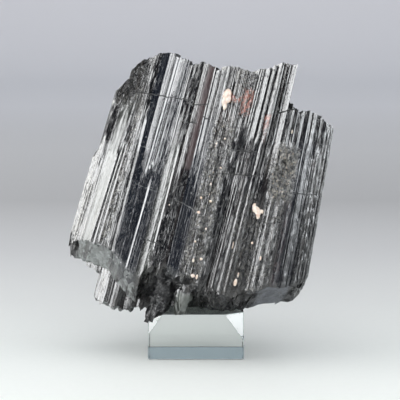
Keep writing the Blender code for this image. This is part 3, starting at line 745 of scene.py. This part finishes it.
def tourmaline():
    g = Nodes("black_tourmaline")
    place = g.attribute("place", "Vector")
    stain, crust, cool, pale, knob, broken = (g.attribute(n) for n in ("stain", "crust", "cool", "pale", "knob", "broken"))
    u, v, w = g.split(place)

    streaks = g.noise(g.scaled(place, (1.7, 1.7, 0.045)), 4, 0.6)
    fine = g.noise(g.scaled(place, (7.5, 7.5, 0.16)), 3, 0.6)
    hair = g.noise(g.scaled(place, (16.0, 16.0, 0.5)), 2, 0.5)
    cloud = g.noise(g.scaled(place, (0.16, 0.16, 0.10), (3.1, 0, 7.7)), 4, 0.6)
    grit = g.noise(g.scaled(place, (2.6, 2.6, 1.7)), 4, 0.7)
    pits = g.cells(g.scaled(place, (2.2, 2.2, 1.2)))
    speck_colour = g.cells(g.scaled(place, (2.4, 2.4, 1.3), (0.3, 0.7, 0.1)), out="Color")
    speck_edge = g.cells(g.scaled(place, (2.4, 2.4, 1.3), (0.3, 0.7, 0.1)))
    speck_pick = g.split(speck_colour)[0]

    base = g.blend(g.ramp(streaks, 0.35, 0.68), (0.0016, 0.0016, 0.0022), (0.0065, 0.0062, 0.0070))
    base = g.blend(g.math("MULTIPLY", g.ramp(g.noise(g.scaled(place, (1.1, 1.1, 0.03), (9, 2, 4)), 2, 0.5), 0.52, 0.66), 0.6), base, (0.016, 0.0095, 0.0070))
    base = g.blend(g.math("MULTIPLY", cool, 0.75), base, (0.0050, 0.0078, 0.0150))
    base = g.blend(g.math("MULTIPLY", pale, g.ramp(fine, 0.25, 0.7, 0.35, 0.9)), base, (0.055, 0.060, 0.050))

    # rust stains, drawn out along the striations
    rust = g.math("MULTIPLY", stain, g.ramp(fine, 0.2, 0.62, 0.45, 1.0))
    ragged = g.ramp(g.noise(g.scaled(place, (1.5, 1.5, 0.8), (5, 1, 2)), 4, 0.65), 0.44, 0.56)
    rust = g.math("MULTIPLY", rust, g.math("MAXIMUM", ragged, g.ramp(u, -5.5, -6.0)))
    rust_colour = g.blend(g.ramp(w, 60.0, 68.0), (0.050, 0.018, 0.017), (0.36, 0.10, 0.055))
    rust_dark = g.blend(g.ramp(u, -5.5, -3.5), (0.042, 0.016, 0.016), rust_colour)
    base = g.blend(rust, base, rust_dark)

    # crust of fine feldspar and mica dust in the rough hollows
    patches = g.noise(g.scaled(place, (1.25, 1.25, 0.85), (2, 8, 3)), 4, 0.7)
    dusty = g.math("MULTIPLY", crust, g.ramp(patches, 0.49, 0.57))
    base = g.blend(dusty, base, g.blend(g.ramp(cloud, 0.4, 0.6), (0.25, 0.245, 0.215), (0.42, 0.39, 0.33)))
    # single bright grains
    chosen = g.math("GREATER_THAN", speck_pick, g.ramp(crust, 0.1, 0.9, 1.02, 0.72))
    grains = g.math("MULTIPLY", chosen, g.ramp(speck_edge, 0.30, 0.42, 1.0, 0.0))
    base = g.blend(g.math("MULTIPLY", grains, 0.85), base, (0.46, 0.37, 0.28))

    # broken ends: dull grey, with darker flakes
    flake = g.noise(g.scaled(place, (0.9, 0.9, 0.9)), 5, 0.65, 0.4)
    dull = g.blend(g.ramp(flake, 0.38, 0.62), (0.0030, 0.0030, 0.0035), (0.014, 0.014, 0.016))
    smooth_grey = g.blend(g.ramp(flake, 0.35, 0.65), (0.17, 0.185, 0.18), (0.29, 0.31, 0.305))
    smooth_blue = g.blend(g.ramp(flake, 0.35, 0.65), (0.075, 0.080, 0.094), (0.15, 0.16, 0.185))
    low = g.ramp(w, 19.0, 21.0, 1.0, 0.0)
    left_foot = g.math("MULTIPLY", g.math("MULTIPLY", g.ramp(u, -12.4, -13.4), low), g.ramp(u, -34.6, -33.2))
    right_foot = g.math("MULTIPLY", g.math("MULTIPLY", g.ramp(u, 20.5, 23.0), g.ramp(u, 31.0, 29.5)), low)
    left_foot = g.math("MULTIPLY", left_foot, broken)
    right_foot = g.math("MULTIPLY", right_foot, broken)
    dull = g.blend(left_foot, dull, smooth_grey)
    dull = g.blend(right_foot, dull, smooth_blue)
    base = g.blend(broken, base, dull)
    base = g.blend(knob, base, g.blend(g.ramp(flake, 0.35, 0.65), (0.050, 0.060, 0.052), (0.12, 0.13, 0.115)))

    # cracks, each a short line across the striations
    open_crack, healed = 0.0, 0.0
    wiggle = g.math("MULTIPLY_ADD", g.noise(g.scaled(place, (0.9, 0.0, 0.0)), 4, 0.65), 1.5, -0.75)
    for ua, ub, wa, wb, width, depth in CRACKS:
        slope = (wb - wa) / (ub - ua)
        line = g.math("MULTIPLY_ADD", u, slope, wa - slope * ua)
        away = g.math("ABSOLUTE", g.math("SUBTRACT", g.math("ADD", w, wiggle), line))
        inside = g.math("MULTIPLY", g.ramp(u, ua - 0.3, ua + 0.5), g.ramp(u, ub - 0.5, ub + 0.3, 1.0, 0.0))
        mark = g.math("MULTIPLY", g.ramp(away, width * 0.45, width, 1.0, 0.0), inside)
        if depth > 0.5:
            open_crack = g.math("MAXIMUM", open_crack, g.math("MULTIPLY", mark, depth))
        else:
            healed = g.math("MAXIMUM", healed, mark)
    front_only = g.ramp(v, 2.0, 0.0)
    open_crack = g.math("MULTIPLY", open_crack, front_only)
    healed = g.math("MULTIPLY", g.math("MULTIPLY", healed, front_only), g.ramp(grit, 0.40, 0.58, 0.0, 0.55))
    base = g.blend(open_crack, base, (0.002, 0.002, 0.002))
    base = g.blend(healed, base, (0.20, 0.205, 0.20))
    g.wire(base, g.shader.inputs["Base Color"])

    rough = g.ramp(streaks, 0.35, 0.7, 0.10, 0.20)
    rough = g.math("MULTIPLY_ADD", g.ramp(fine, 0.4, 0.7), 0.07, rough)
    rough = g.math("MULTIPLY_ADD", g.ramp(cloud, 0.45, 0.62), 0.08, rough)
    nicks = g.ramp(g.noise(g.scaled(place, (1.9, 1.9, 1.15), (4, 4, 4)), 3, 0.65), 0.60, 0.67)
    nicks = g.math("MULTIPLY", nicks, g.math("MULTIPLY_ADD", cool, -0.5, 0.75))
    for amount, to in ((crust, 0.20), (rust, 0.40), (pale, 0.28), (dusty, 0.55), (grains, 0.45), (broken, 0.30), (left_foot, 0.60), (right_foot, 0.55), (knob, 0.75), (open_crack, 0.9), (healed, 0.5)):
        node = g.put("ShaderNodeMix", data_type="FLOAT")
        g.wire(amount, node.inputs[0])
        g.wire(rough, node.inputs[2])
        g.wire(to, node.inputs[3])
        rough = node.outputs[0]
    g.wire(rough, g.shader.inputs["Roughness"])

    along = g.math("SUBTRACT", 1.0, broken)
    lines = g.math("MULTIPLY", g.math("MULTIPLY_ADD", hair, 0.5, fine), along)
    chips = g.math("MULTIPLY", g.math("MULTIPLY_ADD", pits, 0.5, grit), g.math("MAXIMUM", g.math("MULTIPLY", crust, 0.9), g.math("MULTIPLY", broken, 0.8)))
    normal = g.bump(lines, 0.45, 0.00010)
    normal = g.bump(chips, 0.8, 0.00055, normal)
    normal = g.bump(g.math("MULTIPLY", flake, broken), 0.6, 0.0009, normal)
    planes = g.math("MAXIMUM", left_foot, right_foot)
    sparkle = g.math("SUBTRACT", g.math("MAXIMUM", broken, g.math("MAXIMUM", g.math("MULTIPLY", crust, 0.6), g.math("MULTIPLY", nicks, 0.40))), planes, clamp=True)
    chip = g.math("ADD", g.facets(g.scaled(place, (1.5, 1.5, 1.1))), g.math("MULTIPLY", g.facets(g.scaled(place, (3.4, 3.4, 2.4), (1, 5, 2))), 0.5))
    normal = g.bump(g.math("MULTIPLY", chip, sparkle), 1.0, 0.0016, normal)
    normal = g.bump(g.math("SUBTRACT", 1.0, open_crack), 0.8, 0.0003, normal)
    g.wire(normal, g.shader.inputs["Normal"])
    g.shader.inputs["IOR"].default_value = 1.64
    g.shader.inputs["Specular IOR Level"].default_value = 0.68
    return g.material


def feldspar():
    g = Nodes("feldspar")
    where = g.put("ShaderNodeTexCoord").outputs["Object"]
    cloud = g.noise(g.scaled(where, (900, 900, 900)), 4, 0.6)
    fine = g.noise(g.scaled(where, (3200, 3200, 3200)), 3, 0.6)
    colour = g.blend(g.ramp(cloud, 0.38, 0.62), (0.84, 0.64, 0.52), (0.92, 0.82, 0.73))
    colour = g.blend(g.ramp(fine, 0.60, 0.75), colour, (0.42, 0.22, 0.14))
    g.wire(colour, g.shader.inputs["Base Color"])
    g.wire(g.ramp(fine, 0.3, 0.7, 0.40, 0.62), g.shader.inputs["Roughness"])
    g.wire(g.bump(g.math("ADD", cloud, fine), 0.5, 0.0003), g.shader.inputs["Normal"])
    g.shader.inputs["IOR"].default_value = 1.53
    g.shader.inputs["Subsurface Weight"].default_value = 0.15
    g.shader.inputs["Subsurface Radius"].default_value = (0.0008, 0.0005, 0.0003)
    return g.material


def acrylic():
    g = Nodes("clear_acrylic")
    where = g.put("ShaderNodeTexCoord").outputs["Object"]
    haze = g.noise(g.scaled(where, (160, 160, 160)), 3, 0.5)
    rub = g.noise(g.scaled(where, (2500, 2500, 300)), 2, 0.5)
    g.wire(g.ramp(haze, 0.35, 0.7, 0.012, 0.05), g.shader.inputs["Roughness"])
    g.wire(g.bump(rub, 0.04, 0.00005), g.shader.inputs["Normal"])
    # the grey tint is partly the acrylic's own slight absorption and partly painted shade, darkening the view through
    # the block where the crystal's shadow falls on the floor behind it
    g.shader.inputs["Base Color"].default_value = (0.885, 0.915, 0.895, 1.0)
    g.shader.inputs["Transmission Weight"].default_value = 1.0
    g.shader.inputs["IOR"].default_value = 1.49
    return g.material


# ---------------------------------------------------------------- the pieces
def build_crystal():
    prisms = [front_prism(row, span, i, 75) for i, (row, span) in enumerate(zip(FRONT, SPANS))]
    for i, row in enumerate(REAR):
        turns = CLUSTER if row[0] in ("q", "r") else None
        prisms.append(rear_prism(row, i, 28, (1.5, 1.6) if turns else (1.5, 1.2), (0.5, 1.3), turns, crag=1.3 if row[0] in ("u", "v", "aa", "bb") else 0.5))
    prisms += [rear_prism(row, 40 + i, 24, (0.3, 1.4), ((0.9, 2.2), (0.8, 1.4))[i], None, (0.4, 1.5)[i], (1.5, 0.7)[i]) for i, row in enumerate(SPURS)]
    prisms += [rear_prism(row, 50 + i, 20, (1.3, 0.5), (0.5, 1.2), None, lumps=0.5, crag=1.0) for i, row in enumerate(CRAGS)]
    crystal = prisms[0]
    for other in prisms[1:]:
        combine(crystal, other, "UNION")
    mesh = crystal.data
    co = np.empty(len(mesh.vertices) * 3)
    mesh.vertices.foreach_get("co", co)
    mesh.vertices.foreach_set("co", lean(co.reshape(-1, 3)).reshape(-1))
    seat = bpy.data.meshes.new("seat")
    bm = bmesh.new()
    bmesh.ops.create_cube(bm, size=1.0)
    low, high = (-BLOCK_W / 2 - GAP, -BLOCK_D / 2 - GAP, -1.0), (BLOCK_W / 2 + GAP, BLOCK_D / 2 + GAP, BLOCK_H + GAP)
    bmesh.ops.scale(bm, verts=bm.verts, vec=[b - a for a, b in zip(low, high)])
    bmesh.ops.translate(bm, verts=bm.verts, vec=[(a + b) / 2 for a, b in zip(low, high)])
    bm.to_mesh(seat)
    bm.free()
    cutter = bpy.data.objects.new("seat", seat)
    bpy.context.scene.collection.objects.link(cutter)
    combine(crystal, cutter, "DIFFERENCE")
    mesh = crystal.data
    crystal.name, mesh.name = "striated_crystal", "striated_crystal"
    for name in [a.name for a in mesh.attributes if not a.is_required and a.name not in (".edge_verts", "position")]:
        if name in mesh.attributes and not name.startswith("."):
            mesh.attributes.remove(mesh.attributes[name])
    mesh.validate()
    paint(mesh)
    mesh.transform(Matrix.Scale(MM, 4))
    mesh.polygons.foreach_set("use_smooth", np.ones(len(mesh.polygons), dtype=bool))
    mesh.set_sharp_from_angle(angle=math.radians(16))
    mesh.materials.clear()
    mesh.materials.append(tourmaline())
    mesh.calc_loop_triangles()
    print("crystal triangles", len(mesh.loop_triangles))
    return crystal


# small feldspar grains grown into the face: u, w, half width, half height
GRAINS = [
    (-0.35, 70.0, 1.25, 1.6), (-0.75, 67.6, 0.85, 1.7), (0.25, 68.4, 0.8, 1.1), (-0.3, 66.0, 0.55, 1.1), (-1.3, 69.2, 0.5, 0.8),
    (15.4, 38.5, 0.7, 0.9), (16.1, 37.6, 1.1, 1.0), (17.0, 36.7, 1.0, 1.2), (17.8, 37.4, 0.7, 0.6), (17.3, 35.6, 0.6, 0.8),
    (15.2, 14.6, 0.5, 1.2), (15.5, 17.0, 0.28, 0.9),
    (0.9, 18.2, 0.35, 0.6), (1.7, 13.6, 0.62, 0.55), (2.9, 13.6, 0.34, 0.75), (3.0, 19.2, 0.42, 0.45),
    (-0.8, 32.8, 0.5, 0.45), (-1.1, 37.3, 0.35, 0.35), (1.9, 36.9, 0.4, 0.35), (11.9, 25.4, 0.22, 1.1),
    (17.3, 27.4, 0.4, 0.4), (-0.3, 54.4, 0.30, 0.35), (21.8, 63.0, 0.24, 0.65), (1.9, 56.4, 0.28, 0.30), (-9.9, 33.0, 0.25, 0.25),
    (2.6, 47.5, 0.3, 0.3), (0.8, 42.0, 0.25, 0.4), (20.4, 23.5, 0.25, 0.7), (2.4, 28.4, 0.3, 0.4), (0.2, 24.0, 0.28, 0.35),
]


def build_grains():
    bm = bmesh.new()
    for k, (u, w, half_u, half_w) in enumerate(GRAINS):
        made = bmesh.ops.create_icosphere(bm, subdivisions=4 if half_u > 0.6 else 3, radius=1.0)
        v = float(np.interp(u, BU, BV))
        for vert in made["verts"]:
            p = vert.co
            r = 1.0 + 0.22 * float(layered(p.x * 1.6, p.y * 1.6, p.z * 1.6, seed=300 + k, octaves=3))
            flat = 0.55 * min(half_u, half_w) + 0.12
            du, dv, dw = p.x * r * half_u, p.y * r * flat, p.z * r * half_w
            cu = u + float(drift(np.array([u]), np.array([w]))[0] - u)
            vert.co = (cu + du, v + 0.18 + dv, w + dw)
    mesh = bpy.data.meshes.new("feldspar_grains")
    bm.to_mesh(mesh)
    bm.free()
    co = np.empty(len(mesh.vertices) * 3)
    mesh.vertices.foreach_get("co", co)
    mesh.vertices.foreach_set("co", (lean(co.reshape(-1, 3)) * MM).reshape(-1))
    mesh.polygons.foreach_set("use_smooth", np.ones(len(mesh.polygons), dtype=bool))
    mesh.set_sharp_from_angle(angle=math.radians(25))
    mesh.materials.append(feldspar())
    obj = bpy.data.objects.new("feldspar_grains", mesh)
    bpy.context.scene.collection.objects.link(obj)
    return obj


# ---------------------------------------------------------------- the stage
def stage_material():
    g = Nodes("pale_paper_painted_falloff")
    where = g.put("ShaderNodeTexCoord").outputs["Object"]
    x, y, z = g.split(where)
    ramp = g.put("ShaderNodeValToRGB")
    steps = ramp.color_ramp.elements
    # the colour stops darken the paper with distance, darkest about 0.3 m back and lighter again further back: painted
    # light falloff and shade, not the paper's own colour
    stops = [(0.00, (0.92, 0.95, 0.92)), (0.066, (0.87, 0.90, 0.88)), (0.138, (0.72, 0.735, 0.73)), (0.244, (0.575, 0.58, 0.59)), (0.40, (0.43, 0.43, 0.44)),
             (0.64, (0.56, 0.56, 0.575)), (1.00, (0.68, 0.68, 0.71))]
    steps[0].position, steps[0].color = stops[0][0], (*stops[0][1], 1)
    steps[1].position, steps[1].color = stops[-1][0], (*stops[-1][1], 1)
    for position, colour in stops[1:-1]:
        e = steps.new(position)
        e.color = (*colour, 1)
    ramp_in = g.put("ShaderNodeMapRange")
    for socket, value in zip(ramp_in.inputs, (y, -0.06, 0.90, 0.0, 1.0)):
        g.wire(value, socket)
    g.wire(ramp_in.outputs[0], ramp.inputs[0])
    fibre = g.noise(g.scaled(where, (500, 500, 500)), 3, 0.6)
    paper_with_painted_falloff = g.blend(g.ramp(fibre, 0.3, 0.7, 0.0, 0.03), ramp.outputs[0], (0.5, 0.5, 0.5))
    g.wire(g.blend(g.ramp(z, 0.11, 0.19), paper_with_painted_falloff, (0.32, 0.39, 0.42)), g.shader.inputs["Base Color"])
    g.shader.inputs["Roughness"].default_value = 0.7
    g.shader.inputs["Specular IOR Level"].default_value = 0.2
    return g.material


def build_stage():
    bm = bmesh.new()
    rows = []
    profile = [(-2.0, -0.0001), (-0.5, -0.0001), (0.0, -0.0001), (0.5, -0.0001), (1.2, -0.0001)]
    profile += [(1.2 + 0.5 * math.sin(a), 0.5 - 0.5 * math.cos(a)) for a in np.linspace(0.15, math.pi / 2, 10)]
    profile += [(1.7, 2.2)]
    for y, z in profile:
        rows.append([bm.verts.new((x, y, z)) for x in (-2.5, -0.8, 0.8, 2.5)])
    for a, b in zip(rows[:-1], rows[1:]):
        for i in range(3):
            bm.faces.new((a[i], a[i + 1], b[i + 1], b[i]))
    mesh = bpy.data.meshes.new("stage_floor")
    bm.to_mesh(mesh)
    bm.free()
    mesh.polygons.foreach_set("use_smooth", np.ones(len(mesh.polygons), dtype=bool))
    mesh.materials.append(stage_material())
    obj = bpy.data.objects.new("stage_floor", mesh)
    bpy.context.scene.collection.objects.link(obj)


def panel(name, azimuth, elevation, distance, size, radiance, colour, diffuse=True, glossy=True, aim=(0.0, 0.0, 0.055)):
    """A softbox of that size, placed round the object: azimuth 0 is the camera's side, 90 the viewer's right."""
    a, e = math.radians(azimuth), math.radians(elevation)
    way = Vector((math.sin(a) * math.cos(e), -math.cos(a) * math.cos(e), math.sin(e)))
    light = bpy.data.lights.new(name, "AREA")
    light.shape, light.size, light.size_y = "RECTANGLE", size[0], size[1]
    light.energy = radiance * math.pi * size[0] * size[1]
    light.color = colour
    obj = bpy.data.objects.new(name, light)
    obj.location = Vector(aim) + way * distance
    obj.rotation_mode = "QUATERNION"
    obj.rotation_quaternion = (-way).to_track_quat("-Z", "Y")
    obj.visible_diffuse, obj.visible_glossy, obj.visible_transmission, obj.visible_camera = diffuse, glossy, False, False
    bpy.context.scene.collection.objects.link(obj)
    return obj


def build_lights():
    world = bpy.data.worlds.new("room")
    bpy.context.scene.world = world
    world.use_nodes = True
    world.node_tree.nodes["Background"].inputs["Color"].default_value = (0.055, 0.062, 0.085, 1)
    world.node_tree.nodes["Background"].inputs["Strength"].default_value = 1.0
    # what the gloss sees
    panel("left_softbox", -70, 22, 0.62, (0.70, 0.70), 11.0, (0.975, 0.99, 1.0), diffuse=False)
    panel("left_rear_softbox", -126, 18, 0.70, (0.44, 0.60), 6.5, (1.0, 1.0, 0.97), diffuse=False)
    panel("right_softbox", 68, 12, 0.70, (0.38, 0.60), 13.0, (0.93, 0.97, 1.0), diffuse=False)
    panel("right_front_softbox", 42, 22, 0.70, (0.24, 0.60), 1.2, (0.95, 0.98, 1.0), diffuse=False)
    panel("rear_softbox", 178, 42, 0.90, (0.60, 0.50), 3.0, (1.0, 1.0, 1.0), diffuse=False)
    # what lights the paper and the dull surfaces
    panel("overhead", 0, 86, 1.1, (1.3, 1.3), 1.2, (1.0, 1.0, 0.99), glossy=False)
    panel("wall_wash", 0, 55, 1.2, (3.0, 0.8), 1.0, (0.98, 0.98, 1.0), glossy=False, aim=(0.0, 1.9, 0.05))
    panel("tent_left", -80, 24, 1.3, (1.3, 1.1), 2.2, (1.0, 1.0, 0.98), glossy=False)
    panel("tent_right", 80, 24, 1.3, (1.3, 1.1), 1.9, (1.0, 1.0, 1.0), glossy=False)
    panel("tent_front", 0, 26, 1.4, (1.8, 0.7), 2.3, (1.0, 1.0, 1.0), glossy=False)


def build_camera():
    scale = 0.316 * MM
    eps, distance = math.radians(8.5), 0.48
    target = Vector((4 * scale, 0.0, 48.6 * MM))
    way = Vector((0.0, -math.cos(eps), math.sin(eps)))
    data = bpy.data.cameras.new("camera")
    data.sensor_width = 36.0
    data.lens = 36.0 * distance / (400 * scale)
    data.clip_start, data.clip_end = 0.01, 20.0
    cam = bpy.data.objects.new("camera", data)
    cam.location = target + way * distance
    cam.rotation_mode = "QUATERNION"
    cam.rotation_quaternion = (-way).to_track_quat("-Z", "Y")
    bpy.context.scene.collection.objects.link(cam)
    bpy.context.scene.camera = cam


def main():
    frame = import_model()
    scene = bpy.context.scene
    scene.view_settings.view_transform = "Standard"

    crystal = build_crystal()
    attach(crystal, "root")
    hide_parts("tourmaline_crystal")
    grains = build_grains()
    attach(grains, "root")

    block = frame["nodes"]["acrylic_block"]
    for slot in block.material_slots:
        slot.material = acrylic()

    build_stage()
    build_lights()
    build_camera()


main()
